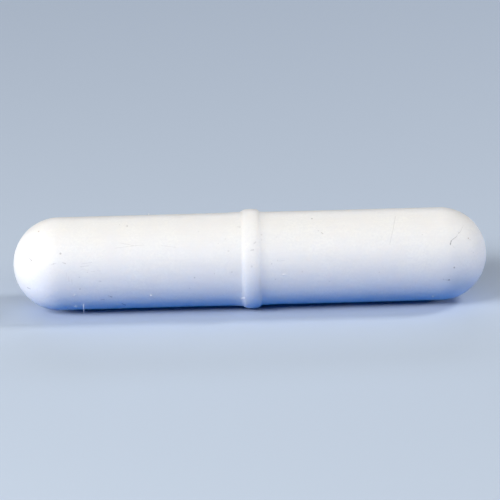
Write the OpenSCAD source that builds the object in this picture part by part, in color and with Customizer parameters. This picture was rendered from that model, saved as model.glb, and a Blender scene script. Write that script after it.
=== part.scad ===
// Magnetic stir bar: a bar magnet sealed in a seamless white fluoropolymer jacket,
// with full-round ends and a pivot ring moulded round the middle.
// The bar lies along X, centred on X = 0 and Y = 0. The lowest point of the ring is at Z = 0.

/* [Bar] */
// Overall length, tip to tip
bar_length = 40.7; // [30:0.1:60]
// Diameter of the barrel, which is also that of its full-round ends
barrel_d = 8; // [7:0.1:9]

/* [Pivot ring] */
// Height of the ring above the barrel
ring_rise = 0.3; // [0.25:0.05:0.5]
// Width of the ring across its rounded shoulders
ring_w = 1.7; // [1.4:0.1:3]
// Crown: how much the middle of the ring stands above its shoulders
ring_crown = 0.1; // [0.04:0.02:0.12]
// Radius of each shoulder
ring_edge_r = 0.3; // [0.2:0.05:0.35]
// Radius of the fillet between the ring and the barrel
ring_root_r = 0.45; // [0.3:0.05:0.8]

/* [Jacket wall] */
// Thickness of the wall round the magnet
side_wall = 1.45; // [1.2:0.05:2]
// Thickness from each end of the magnet's chamber to the tip
end_wall = 3; // [2.5:0.1:6]

/* [Magnet] */
// Gap between the magnet and its chamber, all round
magnet_clearance = 0.05; // [0.02:0.01:0.1]
// Chamfer on both ends of the magnet and of its chamber
magnet_chamfer = 0.4; // [0.2:0.1:0.8]

/* [Hidden] */
$fn = 128;

// Barrel
half_length = bar_length / 2;
barrel_r = barrel_d / 2;
dome_x = half_length - barrel_r;

// Chamber and magnet
chamber_r = barrel_r - side_wall;
chamber_half = half_length - end_wall;
magnet_r = chamber_r - magnet_clearance;
magnet_half = chamber_half - magnet_clearance;

// Ring section, as [radius, distance along the bar]. One wide arc makes the crown. It runs into a
// shoulder arc on each side, and each shoulder arc into a fillet arc that ends on the barrel.
ring_r = barrel_r + ring_rise;
shoulder_x = ring_w / 2 - ring_edge_r;
shoulder_r = ring_r - ring_edge_r - ring_crown;
crown_angle = 2 * atan(ring_crown / shoulder_x);
crown_r = ring_edge_r + shoulder_x / sin(crown_angle);
crown_half_w = crown_r * sin(crown_angle);
root_r = barrel_r + ring_root_r;
root_x = shoulder_x + sqrt(pow(ring_edge_r + ring_root_r, 2) - pow(root_r - shoulder_r, 2));

// How far the ring's section reaches into the barrel that it is moulded with
ring_depth = side_wall / 2;
ring_inner_r = barrel_r - ring_depth;

// The bar stands on its ring
axis_z = ring_r;

// A section drawn as [radius, distance along the bar] is turned about the bar's axis
module turned_along_bar() {
    translate([0, 0, axis_z])
        rotate([0, 90, 0])
            rotate_extrude()
                children();
}

// Section of the barrel with its two full-round ends
module barrel_section() {
    intersection() {
        union() {
            translate([0, -dome_x])
                square([barrel_r, 2 * dome_x]);
            for (side = [-1, 1])
                translate([0, side * dome_x])
                    circle(r = barrel_r);
        }
        translate([0, -half_length])
            square([barrel_r, bar_length]);
    }
}

// Section of the middle of the ring, under its crown arc
module crown_section() {
    intersection() {
        translate([ring_r - crown_r, 0])
            circle(r = crown_r);
        translate([ring_inner_r, -crown_half_w])
            square([ring_r - ring_inner_r, 2 * crown_half_w]);
    }
}

// Section of one shoulder of the ring and the concave fillet at its root
module shoulder_section() {
    translate([shoulder_r, shoulder_x])
        circle(r = ring_edge_r);
    difference() {
        polygon([
            [ring_inner_r, shoulder_x],
            [shoulder_r, shoulder_x],
            [root_r, root_x],
            [ring_inner_r, root_x]
        ]);
        translate([root_r, root_x])
            circle(r = ring_root_r);
    }
}

module ring_section() {
    crown_section();
    shoulder_section();
    mirror([0, 1])
        shoulder_section();
}

// Section of a straight rod with a chamfer at both ends
module rod_section(radius, half, chamfer) {
    polygon([
        [0, -half],
        [radius - chamfer, -half],
        [radius, -half + chamfer],
        [radius, half - chamfer],
        [radius - chamfer, half],
        [0, half]
    ]);
}

// One seamless moulding: barrel, ends and pivot ring, closed round the magnet's chamber
module ptfe_jacket() {
    color("white")
        turned_along_bar()
            difference() {
                union() {
                    barrel_section();
                    ring_section();
                }
                rod_section(chamber_r, chamber_half, magnet_chamfer);
            }
}

// Cast rod magnet, sealed in the jacket's chamber
module bar_magnet() {
    color("dimgray")
        turned_along_bar()
            rod_section(magnet_r, magnet_half, magnet_chamfer);
}

ptfe_jacket();
bar_magnet();
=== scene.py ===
import math

import bpy
from mathutils import Matrix, Vector, noise


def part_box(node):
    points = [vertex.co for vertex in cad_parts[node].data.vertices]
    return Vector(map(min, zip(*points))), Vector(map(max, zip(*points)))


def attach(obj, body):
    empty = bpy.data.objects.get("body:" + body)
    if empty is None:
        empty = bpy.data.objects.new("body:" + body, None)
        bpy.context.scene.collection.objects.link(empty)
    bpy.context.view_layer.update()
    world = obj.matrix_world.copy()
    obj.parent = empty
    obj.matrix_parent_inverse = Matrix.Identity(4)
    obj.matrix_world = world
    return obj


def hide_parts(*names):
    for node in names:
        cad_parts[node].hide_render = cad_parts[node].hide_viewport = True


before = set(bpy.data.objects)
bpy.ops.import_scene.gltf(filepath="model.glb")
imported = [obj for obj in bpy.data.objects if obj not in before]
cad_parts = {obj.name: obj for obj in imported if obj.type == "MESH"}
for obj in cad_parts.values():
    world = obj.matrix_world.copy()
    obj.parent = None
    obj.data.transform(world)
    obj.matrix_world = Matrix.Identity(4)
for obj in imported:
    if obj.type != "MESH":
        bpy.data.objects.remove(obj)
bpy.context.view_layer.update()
mm = 0.001  # all sizes below are in millimetres, Blender works in metres
print("frame loaded:", sorted(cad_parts))


# helpers shared by the pieces

def hexToLinear(hexColour):
    channels = [int(hexColour[i:i + 2], 16) / 255 for i in (1, 3, 5)]
    return [c / 12.92 if c <= 0.04045 else ((c + 0.055) / 1.055) ** 2.4 for c in channels] + [1.0]


def addNode(tree, kind, inputs=None, **settings):
    node = tree.nodes.new(kind)
    for name, value in settings.items():
        setattr(node, name, value)
    for name, value in (inputs or {}).items():
        if isinstance(value, bpy.types.NodeSocket):
            tree.links.new(value, node.inputs[name])
        else:
            node.inputs[name].default_value = value
    return node


def newMaterial(name):
    material = bpy.data.materials.new(name)
    material.use_nodes = True
    material.node_tree.nodes.clear()
    return material, material.node_tree


def finishMaterial(material, tree, shader):
    addNode(tree, "ShaderNodeOutputMaterial", {"Surface": shader.outputs[0]})
    return material


def coordinatesInMm(tree):
    place = addNode(tree, "ShaderNodeTexCoord")
    scaled = addNode(tree, "ShaderNodeVectorMath", {0: place.outputs["Object"], "Scale": 1 / mm},
                     operation="SCALE")
    return scaled.outputs["Vector"]


def newMeshPiece(name, vertices, faces, material):
    mesh = bpy.data.meshes.new(name)
    mesh.from_pydata([Vector(v) * mm for v in vertices], [], faces)
    mesh.validate()
    mesh.polygons.foreach_set("use_smooth", [True] * len(mesh.polygons))
    mesh.materials.append(material)
    piece = bpy.data.objects.new(name, mesh)
    bpy.context.scene.collection.objects.link(piece)
    return piece


# the jacket, with the same sizes as its CAD solid

jacket = {
    "barrelRadius": 4.0,
    "ringRise": 0.3,
    "ringMiddle": 0.10,  # the moulded ring is a hair off the middle of the bar
    "ringZone": 2.6,  # to each side of the ring's middle, where the mesh is finest
    "sideWall": 1.45,
    "endWall": 3.0,
    "chamberChamfer": 0.4,
    "clearance": 0.002,  # the ring's crown stays this far inside its solid
    "around": 208,
    "chamberAround": 96,
    "stepsOnDome": 44,
    "stepsOnBarrel": 86,
    "stepsOnRing": 64,
    "waveDepth": 0.012,  # how far the moulded skin dips below true round
    "waveLength": 5.0,
    "rippleDepth": 0.004,
    "rippleLength": 1.4,
    "rippleShift": (7, 3, 5),  # so that the ripples don't follow the waves
    "trueTip": 0.05,  # radius round each tip that stays true
    "lumpReach": 2.5,  # a lump has died out at this many times its size
    "lumpFall": 2.0,
}

# the ring's two flanks differ a little: a soft swelling leads up to the left one
ringFlanks = {
    "left": {"shoulderPlace": 0.43, "shoulderRadius": 0.30, "crownDrop": 0.05, "rootRadius": 0.33,
             "swelling": 0.10, "swellingReach": 1.25},
    "right": {"shoulderPlace": 0.48, "shoulderRadius": 0.30, "crownDrop": 0.055, "rootRadius": 0.32,
              "swelling": 0.04, "swellingReach": 1.1},
}

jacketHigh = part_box("ptfe_jacket")[1] / mm
axisHeight = jacket["barrelRadius"] + jacket["ringRise"]
halfLength = jacketHigh.x
domeStart = halfLength - jacket["barrelRadius"]
# the crown's height over the barrel, kept inside the solid's box
ringTop = min(jacketHigh.z - axisHeight, jacketHigh.y) - jacket["clearance"] - jacket["barrelRadius"]


def ringHeight(flank, distance):
    # a wide crown arc, then a shoulder arc, then a concave root arc that ends on the barrel
    place, shoulder, root = flank["shoulderPlace"], flank["shoulderRadius"], flank["rootRadius"]
    shoulderHeight = ringTop - shoulder - flank["crownDrop"]
    crownAngle = 2 * math.atan(flank["crownDrop"] / place)
    crownRadius = shoulder + place / math.sin(crownAngle)
    foot = place + math.sqrt((shoulder + root) ** 2 - (root - shoulderHeight) ** 2)
    shoulderEnd = place + (foot - place) * shoulder / (shoulder + root)
    if distance <= crownRadius * math.sin(crownAngle):
        return ringTop - crownRadius + math.sqrt(crownRadius ** 2 - distance ** 2)
    if distance <= shoulderEnd:
        return shoulderHeight + math.sqrt(shoulder ** 2 - (distance - place) ** 2)
    if distance < foot:
        return root - math.sqrt(root ** 2 - (foot - distance) ** 2)
    return 0.0


def radiusAt(x):
    if abs(x) >= domeStart:
        return math.sqrt(max(0.0, jacket["barrelRadius"] ** 2 - (abs(x) - domeStart) ** 2))
    flank = ringFlanks["left" if x < jacket["ringMiddle"] else "right"]
    distance = abs(x - jacket["ringMiddle"])
    swelling = flank["swelling"] * math.exp(-(distance / flank["swellingReach"]) ** 2)
    ring = ringHeight(flank, distance) * (1 - flank["swelling"] / ringTop)
    return jacket["barrelRadius"] + swelling + ring


def onJacket(along, around, lift=0.0):
    # along is in mm from the bar's middle, around in degrees from straight up towards the front
    radius = radiusAt(along) + lift
    turn = math.radians(around)
    return Vector((along, -radius * math.sin(turn), axisHeight + radius * math.cos(turn)))


# small lumps (+) and dents (-) left by moulding and use: along, around, size, height
lumps = [
    (-1.35, -26.0, 0.55, 0.045),
    (-1.2, 40.5, 0.50, 0.02),
    (0.58, -17.0, 0.14, 0.03),
    (-19.92, 154.0, 0.20, -0.06),
]
placedLumps = [(onJacket(along, around), size, height) for along, around, size, height in lumps]


def skinOffset(point, radius):
    # how far the moulded skin lies off true round
    if radius < jacket["trueTip"]:
        return 0.0
    wave = noise.noise(point / jacket["waveLength"])
    ripple = noise.noise(point / jacket["rippleLength"] + Vector(jacket["rippleShift"]))
    offset = -jacket["waveDepth"] * (0.5 + 0.5 * wave) - jacket["rippleDepth"] * (0.5 + 0.5 * ripple)
    for lumpPlace, size, height in placedLumps:
        distance = (point - lumpPlace).length / size
        if distance < jacket["lumpReach"]:
            offset += height * math.exp(-jacket["lumpFall"] * distance ** 2)
    return offset


def steps(start, end, count):
    return [start + (end - start) * i / count for i in range(1, count + 1)]


def jacketStations():
    # places along the bar where the mesh has a ring of points, closest at the pivot ring and the domes
    zone, middle, onRing = jacket["ringZone"], jacket["ringMiddle"], jacket["stepsOnRing"]
    dome = [domeStart + jacket["barrelRadius"] * math.sin(0.5 * math.pi * i / jacket["stepsOnDome"])
            for i in range(1, jacket["stepsOnDome"])]
    left = steps(-domeStart, middle - zone, jacket["stepsOnBarrel"])
    ring = steps(middle - zone, middle, onRing) + steps(middle, middle + zone, onRing)
    right = steps(middle + zone, domeStart, jacket["stepsOnBarrel"])
    return [-x for x in reversed(dome)] + [-domeStart] + left + ring + right + dome


def turnedShell(stations, radii, around, tips, offset=None, inward=False):
    # rings of points joined into a closed shell, with one point at each tip
    vertices, faces = [], []
    for x, radius in zip(stations, radii):
        for k in range(around):
            turn = 2 * math.pi * k / around
            outwards = Vector((0, -math.sin(turn), math.cos(turn)))
            point = Vector((x, 0, axisHeight)) + outwards * radius
            if offset:
                normal = outwards
                if abs(x) > domeStart:
                    centre = Vector((math.copysign(domeStart, x), 0, axisHeight))
                    normal = (point - centre).normalized()
                point += normal * offset(point, radius)
            vertices.append(point)
    for row in range(len(stations) - 1):
        for k in range(around):
            a, b = row * around + k, row * around + (k + 1) % around
            faces.append((a, b, b + around, a + around))
    for x, row in zip(tips, (0, len(stations) - 1)):
        tip = len(vertices)
        vertices.append(Vector((x, 0, axisHeight)))
        for k in range(around):
            a, b = row * around + k, row * around + (k + 1) % around
            faces.append((tip, b, a) if row == 0 else (tip, a, b))
    if inward:
        faces = [tuple(reversed(face)) for face in faces]
    return vertices, faces


# PTFE, moulded: waxy white, light sinks a little way in and comes out soft and milky

ptfe = {
    "white": "#F9F9FA",
    "cloud": "#F4F3F6",  # slightly greyer clouds in the moulded skin
    "streak": "#EFEEF3",
    "grain": "#F3F3F6",  # between the pressed grains of powder
    "thin": "#F3F5FA",  # thin flecks are a little translucent; this duller bluish white is also painted shade of the skin under them
    "ior": 1.35,
    "roughness": (0.36, 0.52),
    "roughnessRange": (0.3, 0.7),  # each range says where in its noise a change begins and is full
    "scatterWeight": 1.0,
    "scatterStep": (0.20, 0.185, 0.17),  # mean free path of red, green and blue light inside
    "stepScale": 4 * math.pi,  # Random Walk divides its radius by this
    "cloudSize": 2.6,
    "cloudRange": (0.35, 0.68),
    "grainSize": 0.2,  # real sintered grain is under 0.1, drawn coarser so that it shows
    "grainRange": (0.35, 0.7),
    "grainHeight": 0.03,
    "streakLength": 6.0,
    "streakWidth": 0.35,
    "streakRange": (0.5, 0.72),
    "streakShare": 0.35,
    "streakHeight": 0.003,
}

# what use has left in the skin
wear = {
    "grit": "#45404C",
    "rust": "#8A5F48",
    "scratch": "#55505C",
    "scratchDepth": 0.02,
    "scratchCore": 0.2,  # this share of a scratch's width has its full strength
    "longestTurn": 7.5,  # degrees round the bar in one straight part of a scratch
    "speckCore": 0.5,  # radii from a speck's middle that have its full strength
    "speckEdge": 1.4,  # radii from its middle where it has faded out
    "raggedSize": 0.12,  # edges of marks wander on this scale
    "raggedDepth": 0.08,
}

# faint wear scattered over the back, from this many mm behind the bar's middle
backWear = {
    "start": 1.2,
    "full": 2.0,
    "grit": {"gap": 1.15, "radius": 0.075, "strength": 0.4, "stretch": 1.0},
    "scratches": {"gap": 0.7, "radius": 0.055, "strength": 0.3, "stretch": 14.0},
}

# grit in the skin: along, around, radius, how much of the white it takes away
specks = [
    (-16.1, 57.5, 0.09, 0.32), (17.4, 88.5, 0.075, 0.41), (-4.75, 92.0, 0.07, 0.23),
    (-10.4, 20.0, 0.07, 0.36), (-14.55, 87.5, 0.06, 0.15), (-14.55, 103.5, 0.06, 0.35),
    (5.4, 15.0, 0.07, 0.44), (5.9, 36.0, 0.065, 0.16), (0.15, 79.0, 0.095, 0.14),
    (1.05, 40.0, 0.08, 0.14), (1.05, 47.0, 0.055, 0.1), (-1.8, 60.0, 0.085, 0.11),
    (-4.3, 32.5, 0.05, 0.11), (-2.05, 44.5, 0.06, 0.14), (-2.65, 50.0, 0.05, 0.1),
    (2.3, 43.5, 0.06, 0.11), (14.75, 45.5, 0.06, 0.13), (1.85, 77.0, 0.055, 0.15),
    (-13.85, 81.5, 0.05, 0.15), (-1.55, 86.0, 0.06, 0.19), (4.45, 88.0, 0.06, 0.14),
    (2.35, 73.0, 0.06, 0.11), (-3.05, 87.5, 0.055, 0.19), (-5.2, 107.0, 0.06, 0.16),
    (11.0, 91.5, 0.055, 0.11), (6.75, 102.0, 0.06, 0.12), (2.15, 97.0, 0.06, 0.16),
    (-16.7, 70.0, 0.06, 0.14), (19.1, 70.0, 0.055, 0.18), (-11.05, 17.0, 0.05, 0.22),
    (16.45, 103.5, 0.055, 0.2), (16.95, 105.0, 0.085, 0.42),
]
rustSpecks = [(18.7, 47.5, 0.075, 0.34), (18.85, 49.5, 0.055, 0.22), (-18.0, 19.5, 0.085, 0.36)]

# scratches: along and around of both ends, width, how dark at each end
scratches = [
    (17.1, 59.0, 17.2, 54.0, 0.065, 0.7, 0.51), (17.2, 54.0, 17.7, 47.5, 0.05, 0.38, 0.34),
    (17.7, 47.5, 17.75, 45.0, 0.045, 0.2, 0.16), (17.85, 43.0, 18.0, 40.5, 0.05, 0.31, 0.28),
    (18.0, 40.5, 18.35, 26.5, 0.05, 0.18, 0.05), (17.3, 60.5, 17.5, 64.0, 0.045, 0.13, 0.08),
    (12.55, 15.0, 12.3, 36.0, 0.055, 0.13, 0.14), (12.3, 36.0, 11.95, 56.5, 0.055, 0.14, 0.11),
    (-11.4, 52.5, -9.85, 50.0, 0.045, 0.08, 0.15), (-9.85, 50.0, -9.0, 49.5, 0.045, 0.15, 0.07),
    (-11.0, 46.0, -9.85, 50.0, 0.045, 0.11, 0.15), (-7.55, 50.5, -6.3, 53.5, 0.045, 0.1, 0.1),
    (-14.45, 74.5, -13.75, 73.5, 0.05, 0.18, 0.16), (-14.3, 71.0, -13.45, 69.5, 0.045, 0.11, 0.12),
    (-14.35, 78.0, -13.75, 78.5, 0.045, 0.07, 0.07), (-13.55, 81.0, -13.25, 80.5, 0.05, 0.11, 0.11),
    (-13.05, 79.5, -12.75, 80.5, 0.05, 0.08, 0.08), (-16.9, 71.0, -16.5, 69.5, 0.05, 0.15, 0.11),
    (-16.0, 68.5, -15.7, 70.0, 0.065, 0.08, 0.31), (-15.45, 86.5, -15.45, 92.5, 0.045, 0.15, 0.1),
    (-15.2, 90.0, -15.2, 96.5, 0.045, 0.13, 0.1), (-15.65, 81.5, -15.65, 87.0, 0.045, 0.07, 0.07),
    (-18.85, 59.5, -18.6, 64.5, 0.115, 0.26, 0.46), (-18.9, 67.0, -18.7, 65.0, 0.08, 0.17, 0.31),
    (-19.1, 113.0, -18.85, 112.0, 0.085, 0.38, 0.3), (-12.15, 115.5, -11.85, 118.0, 0.06, 0.29, 0.54),
    (-11.05, 133.0, -10.75, 138.0, 0.07, 0.5, 0.6), (-12.8, 122.0, -12.5, 122.5, 0.055, 0.25, 0.34),
    (-12.9, 93.0, -12.7, 93.5, 0.05, 0.26, 0.26), (6.15, 39.0, 6.3, 40.5, 0.055, 0.41, 0.33),
    (16.55, 104.0, 16.95, 105.5, 0.07, 0.1, 0.3), (0.1, 60.5, 0.35, 60.0, 0.07, 0.2, 0.24),
    (0.4, 52.5, 0.55, 50.5, 0.07, 0.15, 0.18), (-1.0, 27.0, -0.75, 28.0, 0.06, 0.11, 0.28),
    (2.35, 74.0, 2.95, 73.5, 0.05, 0.08, 0.1), (-0.8, 107.0, -0.8, 115.0, 0.05, 0.08, 0.11),
]


def joinMasks(tree, masks):
    # the strongest mark wins
    joined = masks[0]
    for mask in masks[1:]:
        joined = addNode(tree, "ShaderNodeMath", {0: joined, 1: mask}, operation="MAXIMUM").outputs[0]
    return joined


def speckMask(tree, place, along, around, radius, strength):
    gap = addNode(tree, "ShaderNodeVectorMath", {0: place, 1: onJacket(along, around)}, operation="DISTANCE")
    mask = addNode(tree, "ShaderNodeMapRange", {
        "Value": gap.outputs["Value"], "From Min": wear["speckCore"] * radius,
        "From Max": wear["speckEdge"] * radius, "To Min": strength, "To Max": 0.0,
    }, interpolation_type="SMOOTHSTEP")
    return mask.outputs["Result"]


def scratchMask(tree, place, along1, around1, along2, around2, width, strength1, strength2):
    # distance from the straight line between both ends, found through the nearest point on it
    start, end = onJacket(along1, around1), onJacket(along2, around2)
    line = end - start
    fromStart = addNode(tree, "ShaderNodeVectorMath", {0: place, 1: start}, operation="SUBTRACT")
    share = addNode(tree, "ShaderNodeVectorMath", {
        0: fromStart.outputs["Vector"], 1: line / line.length_squared}, operation="DOT_PRODUCT")
    share = addNode(tree, "ShaderNodeClamp", {"Value": share.outputs["Value"]})
    nearest = addNode(tree, "ShaderNodeVectorMath", {
        0: line, "Scale": share.outputs["Result"]}, operation="SCALE")
    gap = addNode(tree, "ShaderNodeVectorMath", {
        0: fromStart.outputs["Vector"], 1: nearest.outputs["Vector"]}, operation="DISTANCE")
    strength = addNode(tree, "ShaderNodeMapRange", {
        "Value": share.outputs["Result"], "To Min": strength1, "To Max": strength2})
    mask = addNode(tree, "ShaderNodeMapRange", {
        "Value": gap.outputs["Value"], "From Min": wear["scratchCore"] * width, "From Max": width,
        "To Min": strength.outputs["Result"], "To Max": 0.0,
    }, interpolation_type="SMOOTHSTEP")
    return mask.outputs["Result"]


def shortParts(along1, around1, along2, around2, width, strength1, strength2):
    # a long scratch follows the curve of the skin in straight parts of a few degrees
    count = max(1, math.ceil(abs(around2 - around1) / wear["longestTurn"]))
    ends = [(along1 + (along2 - along1) * i / count, around1 + (around2 - around1) * i / count,
             strength1 + (strength2 - strength1) * i / count) for i in range(count + 1)]
    return [(*a[:2], *b[:2], width, a[2], b[2]) for a, b in zip(ends, ends[1:])]


def scatteredMask(tree, place, gap, radius, strength, stretch):
    # scattered over the back: a mark shows where one of many random points lies close to the skin
    squeezed = addNode(tree, "ShaderNodeVectorMath", {
        0: place, 1: (1 / stretch, 1.0, 1.0)}, operation="MULTIPLY")
    points = addNode(tree, "ShaderNodeTexVoronoi", {"Vector": squeezed.outputs["Vector"], "Scale": 1 / gap})
    mask = addNode(tree, "ShaderNodeMapRange", {
        "Value": points.outputs["Distance"], "From Min": wear["speckCore"] * radius / gap,
        "From Max": wear["speckEdge"] * radius / gap, "To Min": strength, "To Max": 0.0,
    }, interpolation_type="SMOOTHSTEP")
    axes = addNode(tree, "ShaderNodeSeparateXYZ", {"Vector": place})
    behind = addNode(tree, "ShaderNodeMapRange", {
        "Value": axes.outputs["Y"], "From Min": backWear["start"], "From Max": backWear["full"]})
    marks = addNode(tree, "ShaderNodeMath", {
        0: mask.outputs["Result"], 1: behind.outputs["Result"]}, operation="MULTIPLY")
    return marks.outputs[0]


def ptfeMaterial():
    material, tree = newMaterial("Moulded PTFE, waxy white")
    place = coordinatesInMm(tree)
    clouds = addNode(tree, "ShaderNodeTexNoise", {
        "Vector": place, "Scale": 1 / ptfe["cloudSize"], "Detail": 3.0})
    grain = addNode(tree, "ShaderNodeTexNoise", {
        "Vector": place, "Scale": 1 / ptfe["grainSize"], "Detail": 2.0})

    # faint streaks run along the bar, as moulding and handling leave them
    squeeze = (1 / ptfe["streakLength"], 1 / ptfe["streakWidth"], 1 / ptfe["streakWidth"])
    along = addNode(tree, "ShaderNodeVectorMath", {0: place, 1: squeeze}, operation="MULTIPLY")
    streaks = addNode(tree, "ShaderNodeTexNoise", {
        "Vector": along.outputs["Vector"], "Scale": 1.0, "Detail": 2.0})

    # three slightly different whites: clouds, then streaks, then grain
    cloudShare = addNode(tree, "ShaderNodeMapRange", {
        "Value": clouds.outputs["Fac"], "From Min": ptfe["cloudRange"][0], "From Max": ptfe["cloudRange"][1]})
    streakShare = addNode(tree, "ShaderNodeMapRange", {
        "Value": streaks.outputs["Fac"], "From Min": ptfe["streakRange"][0],
        "From Max": ptfe["streakRange"][1], "To Max": ptfe["streakShare"]})
    grainShare = addNode(tree, "ShaderNodeMapRange", {
        "Value": grain.outputs["Fac"], "From Min": ptfe["grainRange"][0], "From Max": ptfe["grainRange"][1]})
    cloudy = addNode(tree, "ShaderNodeMix", {
        0: cloudShare.outputs["Result"], 6: hexToLinear(ptfe["white"]), 7: hexToLinear(ptfe["cloud"]),
    }, data_type="RGBA")
    streaky = addNode(tree, "ShaderNodeMix", {
        0: streakShare.outputs["Result"], 6: cloudy.outputs[2], 7: hexToLinear(ptfe["streak"]),
    }, data_type="RGBA")
    grainy = addNode(tree, "ShaderNodeMix", {
        0: grainShare.outputs["Result"], 6: streaky.outputs[2], 7: hexToLinear(ptfe["grain"]),
    }, data_type="RGBA")

    # the marks' edges are made ragged by pushing the place about a little
    push = addNode(tree, "ShaderNodeTexNoise", {
        "Vector": place, "Scale": 1 / wear["raggedSize"], "Detail": 1.0})
    push = addNode(tree, "ShaderNodeVectorMath", {
        0: push.outputs["Color"], 1: (0.5, 0.5, 0.5)}, operation="SUBTRACT")
    ragged = addNode(tree, "ShaderNodeVectorMath", {
        0: push.outputs["Vector"], 1: [wear["raggedDepth"]] * 3, 2: place}, operation="MULTIPLY_ADD")
    ragged = ragged.outputs["Vector"]

    # grit, rust and scratches, each drawn over the ones before
    backGrit = scatteredMask(tree, ragged, **backWear["grit"])
    backCuts = scatteredMask(tree, ragged, **backWear["scratches"])
    scratchParts = [part for scratch in scratches for part in shortParts(*scratch)]
    grit = joinMasks(tree, [speckMask(tree, ragged, *speck) for speck in specks] + [backGrit])
    rust = joinMasks(tree, [speckMask(tree, ragged, *speck) for speck in rustSpecks])
    cuts = joinMasks(tree, [scratchMask(tree, ragged, *part) for part in scratchParts] + [backCuts])
    colour = grainy.outputs[2]
    for mask, tone in ((grit, "grit"), (rust, "rust"), (cuts, "scratch")):
        marked = addNode(tree, "ShaderNodeMix", {
            0: mask, 6: colour, 7: hexToLinear(wear[tone])}, data_type="RGBA")
        colour = marked.outputs[2]

    roughness = addNode(tree, "ShaderNodeMapRange", {
        "Value": grain.outputs["Fac"],
        "From Min": ptfe["roughnessRange"][0], "From Max": ptfe["roughnessRange"][1],
        "To Min": ptfe["roughness"][0], "To Max": ptfe["roughness"][1]})
    grainBump = addNode(tree, "ShaderNodeBump", {
        "Height": grain.outputs["Fac"], "Distance": ptfe["grainHeight"] * mm})
    streakBump = addNode(tree, "ShaderNodeBump", {
        "Height": streaks.outputs["Fac"], "Normal": grainBump.outputs[0],
        "Distance": ptfe["streakHeight"] * mm})
    cutBump = addNode(tree, "ShaderNodeBump", {
        "Height": cuts, "Normal": streakBump.outputs[0], "Distance": wear["scratchDepth"] * mm}, invert=True)
    shader = addNode(tree, "ShaderNodeBsdfPrincipled", {
        "Base Color": colour, "Roughness": roughness.outputs["Result"], "IOR": ptfe["ior"],
        "Subsurface Weight": ptfe["scatterWeight"], "Subsurface Radius": ptfe["scatterStep"],
        "Subsurface Scale": ptfe["stepScale"] * mm, "Normal": cutBump.outputs["Normal"]})
    return finishMaterial(material, tree, shader)


def thinPtfeMaterial(name, tone):
    # the same PTFE where it is too thin for light to sink in: plain milky white for the flash, a little
    # duller and bluer for the flecks, which is painted shade
    material, tree = newMaterial(name)
    place = coordinatesInMm(tree)
    clouds = addNode(tree, "ShaderNodeTexNoise", {
        "Vector": place, "Scale": 1 / ptfe["grainSize"], "Detail": 1.0})
    colour = addNode(tree, "ShaderNodeMix", {
        0: clouds.outputs["Fac"], 6: hexToLinear(tone), 7: hexToLinear(ptfe["streak"])}, data_type="RGBA")
    bump = addNode(tree, "ShaderNodeBump", {
        "Height": clouds.outputs["Fac"], "Distance": ptfe["streakHeight"] * mm})
    shader = addNode(tree, "ShaderNodeBsdfPrincipled", {
        "Base Color": colour.outputs[2], "Roughness": ptfe["roughness"][1], "IOR": ptfe["ior"],
        "Normal": bump.outputs["Normal"]})
    return finishMaterial(material, tree, shader)


ptfeWhite = ptfeMaterial()
ptfeFlash = thinPtfeMaterial("Thin PTFE flash, milky", ptfe["white"])
# the flecks' bluish white is painted shade of the shaded skin they sit on
ptfeFleck = thinPtfeMaterial("Thin PTFE flecks, painted shade", ptfe["thin"])
print("PTFE materials made")

# the outside and the sealed chamber inside are two closed shells of one piece
stations = jacketStations()
outside = turnedShell(stations, [radiusAt(x) for x in stations], jacket["around"],
                      (-halfLength, halfLength), skinOffset)
chamberRadius = jacket["barrelRadius"] - jacket["sideWall"]
chamberHalf = halfLength - jacket["endWall"]
chamfer = jacket["chamberChamfer"]
chamberStations = [-chamberHalf, -chamberHalf + chamfer, chamberHalf - chamfer, chamberHalf]
chamberRadii = [chamberRadius - chamfer, chamberRadius, chamberRadius, chamberRadius - chamfer]
chamber = turnedShell(chamberStations, chamberRadii, jacket["chamberAround"],
                      (-chamberHalf, chamberHalf), inward=True)
chamberFaces = [tuple(i + len(outside[0]) for i in face) for face in chamber[1]]
jacketPiece = newMeshPiece("jacket_moulding", outside[0] + chamber[0], outside[1] + chamberFaces, ptfeWhite)
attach(jacketPiece, "root")
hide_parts("ptfe_jacket")
print("jacket turned:", len(jacketPiece.data.polygons), "faces")


# small raised flecks left by moulding: along, around, radius, how many times longer along the bar, height
flecks = {
    "places": [
        (-8.5, 117.0, 0.12, 1.2, 0.056), (-15.05, 113.0, 0.1, 1.0, 0.05),
        (-15.0, 137.5, 0.11, 2.1, 0.034), (2.9, 91.0, 0.09, 2.2, 0.042),
        (15.65, 136.5, 0.115, 1.2, 0.048), (17.85, 40.5, 0.085, 1.0, 0.026),
        (-0.55, 124.0, 0.1, 1.0, 0.05),
    ],
    "sink": 0.04,  # how far a fleck's foot sits in the skin
    "uneven": 0.25,
    "sides": 12,
    "rings": 4,
}


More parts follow.
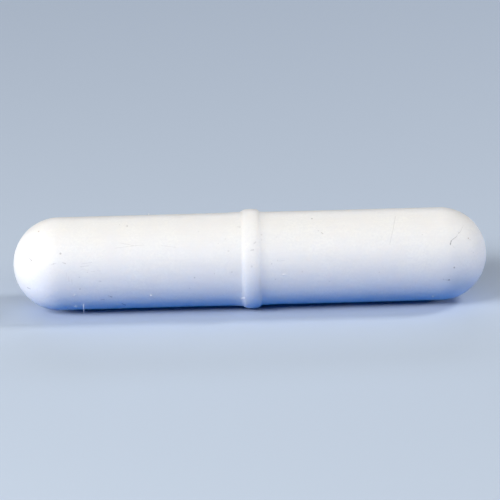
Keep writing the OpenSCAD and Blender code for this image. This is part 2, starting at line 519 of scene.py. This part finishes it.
def fleckMesh(along, around, radius, longer, height):
    # a low rounded heap, a little uneven, with a closed foot under the skin
    sides, rings, sink = flecks["sides"], flecks["rings"], flecks["sink"]
    nearby, nearbyTurn = 0.02, 0.5  # mm and degrees, to find the skin's slope
    base = onJacket(along, around)
    alongWay = (onJacket(along + nearby, around) - onJacket(along - nearby, around)).normalized()
    roundWay = (onJacket(along, around + nearbyTurn) - onJacket(along, around - nearbyTurn)).normalized()
    outwards = roundWay.cross(alongWay)
    if outwards.dot(base - Vector((along, 0, axisHeight))) < 0:
        outwards.negate()
    vertices = [base - outwards * sink]
    for j in range(rings):
        tilt = 0.5 * math.pi * j / rings
        for k in range(sides):
            turn = -2 * math.pi * k / sides  # this way round the faces look outwards
            sideways = alongWay * longer * math.cos(turn) + roundWay * math.sin(turn)
            uneven = 1 + flecks["uneven"] * noise.noise(base + sideways)
            lift = (height + sink) * math.sin(tilt) - sink
            vertices.append(base + sideways * radius * uneven * math.cos(tilt) + outwards * lift)
    vertices.append(base + outwards * height)
    faces = []
    for k in range(sides):
        ahead = (k + 1) % sides
        faces.append((0, 1 + ahead, 1 + k))
        for j in range(rings - 1):
            a, b = 1 + j * sides + k, 1 + j * sides + ahead
            faces.append((a, b, b + sides, a + sides))
        top = 1 + (rings - 1) * sides
        faces.append((top + k, top + ahead, len(vertices) - 1))
    return vertices, faces


fleckVertices, fleckFaces = [], []
for fleck in flecks["places"]:
    heapVertices, heapFaces = fleckMesh(*fleck)
    fleckFaces += [tuple(i + len(fleckVertices) for i in face) for face in heapFaces]
    fleckVertices += heapVertices
fleckPiece = newMeshPiece("skin_flecks", fleckVertices, fleckFaces, ptfeFleck)
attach(fleckPiece, "root")
print("flecks made:", len(flecks["places"]))


# hair-thin fibres of flash that still hang on the jacket; start and end are along, around and lift
fibres = {
    "below": {"start": (-14.35, 132.0, -0.03), "end": (-14.39, 150.0, 0.36), "bend": 0.03, "radius": 0.05},
    "top": {"start": (-8.66, -24.0, -0.03), "end": (-8.66, -6.0, 0.20), "bend": 0.12, "radius": 0.03},
    "ring": {"start": (-0.50, 123.6, -0.02), "end": (-0.95, 126.0, 0.10), "bend": 0.02, "radius": 0.045},
}
fibreForm = {
    "steps": 12,
    "sides": 8,
    "taper": 0.75,  # share of its thickness that a fibre loses towards its free end
    "bow": 2.6,  # radians of a sine along a fibre
    "aside": (0.2, 1, 0.3),  # a way that no fibre points
}


def fibrePath(start, end, bend):
    path = []
    for i in range(fibreForm["steps"] + 1):
        share = i / fibreForm["steps"]
        along, around, lift = [a + (b - a) * share for a, b in zip(start, end)]
        path.append(onJacket(along + bend * math.sin(fibreForm["bow"] * share), around, lift))
    return path


def fibreMesh(path, radius):
    # a tube along the path that thins towards its free end
    sides, last = fibreForm["sides"], len(path) - 1
    vertices, faces = [], []
    for i, point in enumerate(path):
        ahead = (path[min(i + 1, last)] - path[max(i - 1, 0)]).normalized()
        side = ahead.cross(Vector(fibreForm["aside"])).normalized()
        other = ahead.cross(side)
        thin = radius * (1.0 - fibreForm["taper"] * i / last)
        for k in range(sides):
            turn = 2 * math.pi * k / sides
            vertices.append(point + (side * math.cos(turn) + other * math.sin(turn)) * thin)
    for i in range(last):
        for k in range(sides):
            a, b = i * sides + k, i * sides + (k + 1) % sides
            faces.append((a, b, b + sides, a + sides))
    faces.append(tuple(reversed(range(sides))))
    faces.append(tuple(range(len(vertices) - sides, len(vertices))))
    return vertices, faces


for name, fibre in fibres.items():
    path = fibrePath(fibre["start"], fibre["end"], fibre["bend"])
    fibrePiece = newMeshPiece("flash_fibre_" + name, *fibreMesh(path, fibre["radius"]), ptfeFlash)
    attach(fibrePiece, "root")
print("fibres made:", len(fibres))


# the sealed magnet: cast alloy, ground to size, a dull grey with darker pits

magnet = {
    "metal": "#8C8884",
    "dark": "#6B6763",
    "roughness": 0.5,
    "pitSize": 0.25,
    "pitDepth": 0.01,
}


def castAlloy():
    material, tree = newMaterial("Cast magnet alloy, ground")
    place = coordinatesInMm(tree)
    pits = addNode(tree, "ShaderNodeTexNoise", {
        "Vector": place, "Scale": 1 / magnet["pitSize"], "Detail": 3.0})
    colour = addNode(tree, "ShaderNodeMix", {
        0: pits.outputs["Fac"], 6: hexToLinear(magnet["metal"]), 7: hexToLinear(magnet["dark"]),
    }, data_type="RGBA")
    bump = addNode(tree, "ShaderNodeBump", {
        "Height": pits.outputs["Fac"], "Distance": magnet["pitDepth"] * mm})
    shader = addNode(tree, "ShaderNodeBsdfPrincipled", {
        "Base Color": colour.outputs[2], "Metallic": 1.0, "Roughness": magnet["roughness"],
        "Normal": bump.outputs["Normal"]})
    return finishMaterial(material, tree, shader)


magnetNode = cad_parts["bar_magnet"]
magnetNode.data.materials.clear()
magnetNode.data.materials.append(castAlloy())
print("magnet finished")


# floor, lights and camera

studio = {
    "floorHalf": 1500,
    "floorPale": "#C2D1E6",
    "floorBounce": "#006EC6",  # the tint of the light that the floor throws back on the bar
    "floorRoughness": 0.9,
    "floorGloss": 0.1,
}


def floorMaterial():
    # plain paper without a shine, pale where it is seen itself
    material, tree = newMaterial("Matt pale studio paper")
    ray = addNode(tree, "ShaderNodeLightPath")
    seen = addNode(tree, "ShaderNodeMath", {0: ray.outputs["Is Camera Ray"], 1: ray.outputs["Is Glossy Ray"]},
                   operation="MAXIMUM")
    seenToo = addNode(tree, "ShaderNodeMath", {0: seen.outputs[0], 1: ray.outputs["Is Transmission Ray"]},
                      operation="MAXIMUM")
    colour = addNode(tree, "ShaderNodeMix", {
        0: seenToo.outputs[0], 6: hexToLinear(studio["floorBounce"]), 7: hexToLinear(studio["floorPale"]),
    }, data_type="RGBA")
    shader = addNode(tree, "ShaderNodeBsdfPrincipled", {
        "Base Color": colour.outputs[2], "Roughness": studio["floorRoughness"],
        "Specular IOR Level": studio["floorGloss"]})
    return finishMaterial(material, tree, shader)


half = studio["floorHalf"]
floor = newMeshPiece("floor", [(-half, -half, 0), (half, -half, 0), (half, half, 0), (-half, half, 0)],
                     [(0, 1, 2, 3)], floorMaterial())

# the air looks as pale as the floor and gives no light: the lamps do all of it
world = bpy.data.worlds.new("Studio air")
bpy.context.scene.world = world
world.use_nodes = True
air = world.node_tree
air.nodes.clear()
airDark = addNode(air, "ShaderNodeBackground", {"Strength": 0.0})
airSeen = addNode(air, "ShaderNodeBackground", {"Color": hexToLinear(studio["floorPale"]), "Strength": 1.0})
airRay = addNode(air, "ShaderNodeLightPath")
airMix = addNode(air, "ShaderNodeMixShader", {
    0: airRay.outputs["Is Camera Ray"], 1: airDark.outputs[0], 2: airSeen.outputs[0]})
addNode(air, "ShaderNodeOutputWorld", {"Surface": airMix.outputs[0]})

# soft boxes: name, azimuth from the front towards the right, elevation (over 90 it is behind the bar),
# distance, width, height, watts, colour
softBoxes = [
    ("key", -42, 32, 320, 90, 90, 0.578, "#FEFBF9"),
    ("leftLow", -72, 16, 320, 80, 70, 0.612, "#FFFAEB"),
    ("front", 0, 34, 330, 200, 60, 0.143, "#FFFAEB"),
    ("right", 88, 46, 320, 70, 90, 0.366, "#FEFBF9"),
    ("rightLow", 76, 16, 320, 70, 60, 0.288, "#FFFAEB"),
    ("back", 0, 150, 330, 200, 60, 0.195, "#E9F0FF"),
]
barMiddle = Vector((0, 0, axisHeight)) * mm


def addSoftBox(name, azimuth, elevation, distance, width, height, watts, colour):
    light = bpy.data.lights.new(name, "AREA")
    light.shape = "RECTANGLE"
    light.size, light.size_y = width * mm, height * mm
    light.energy = watts
    light.color = hexToLinear(colour)[:3]
    lamp = bpy.data.objects.new(name, light)
    bpy.context.scene.collection.objects.link(lamp)
    turn, rise = math.radians(azimuth), math.radians(elevation)
    away = Vector((math.sin(turn) * math.cos(rise), -math.cos(turn) * math.cos(rise), math.sin(rise)))
    lamp.location = barMiddle + away * distance * mm
    lamp.rotation_euler = away.to_track_quat("Z", "Y").to_euler()
    lamp.visible_camera = False


for box in softBoxes:
    addSoftBox(*box)
print("studio lit with", len(softBoxes), "soft boxes")

camera = {
    "lens": 300,
    "sensor": 36,
    "near": 0.01,  # m
    "far": 20,  # m
    "elevation": 20.0,
    "roll": 1.53,  # degrees, the bar's right end stands higher in the frame
    "frameWidth": 43.04,  # mm across the frame at the bar
    "aimRight": 0.017,  # mm from the bar's middle, in the frame
    "aimUp": 0.736,
}
rise, roll = math.radians(camera["elevation"]), math.radians(camera["roll"])
towardsCamera = Vector((0, -math.cos(rise), math.sin(rise)))
levelRight, levelUp = Vector((1, 0, 0)), Vector((0, math.sin(rise), math.cos(rise)))
frameRight = levelRight * math.cos(roll) - levelUp * math.sin(roll)
frameUp = levelUp * math.cos(roll) + levelRight * math.sin(roll)
aim = barMiddle + (frameRight * camera["aimRight"] + frameUp * camera["aimUp"]) * mm
distance = camera["frameWidth"] * mm * camera["lens"] / camera["sensor"]
cameraData = bpy.data.cameras.new("camera")
cameraData.lens, cameraData.sensor_width = camera["lens"], camera["sensor"]
cameraData.clip_start, cameraData.clip_end = camera["near"], camera["far"]
cameraPiece = bpy.data.objects.new("camera", cameraData)
bpy.context.scene.collection.objects.link(cameraPiece)
turned = Matrix((frameRight, frameUp, towardsCamera)).transposed().to_4x4()
cameraPiece.matrix_world = Matrix.Translation(aim + towardsCamera * distance) @ turned
bpy.context.scene.camera = cameraPiece
bpy.context.scene.view_settings.view_transform = "Standard"

bpy.context.view_layer.update()
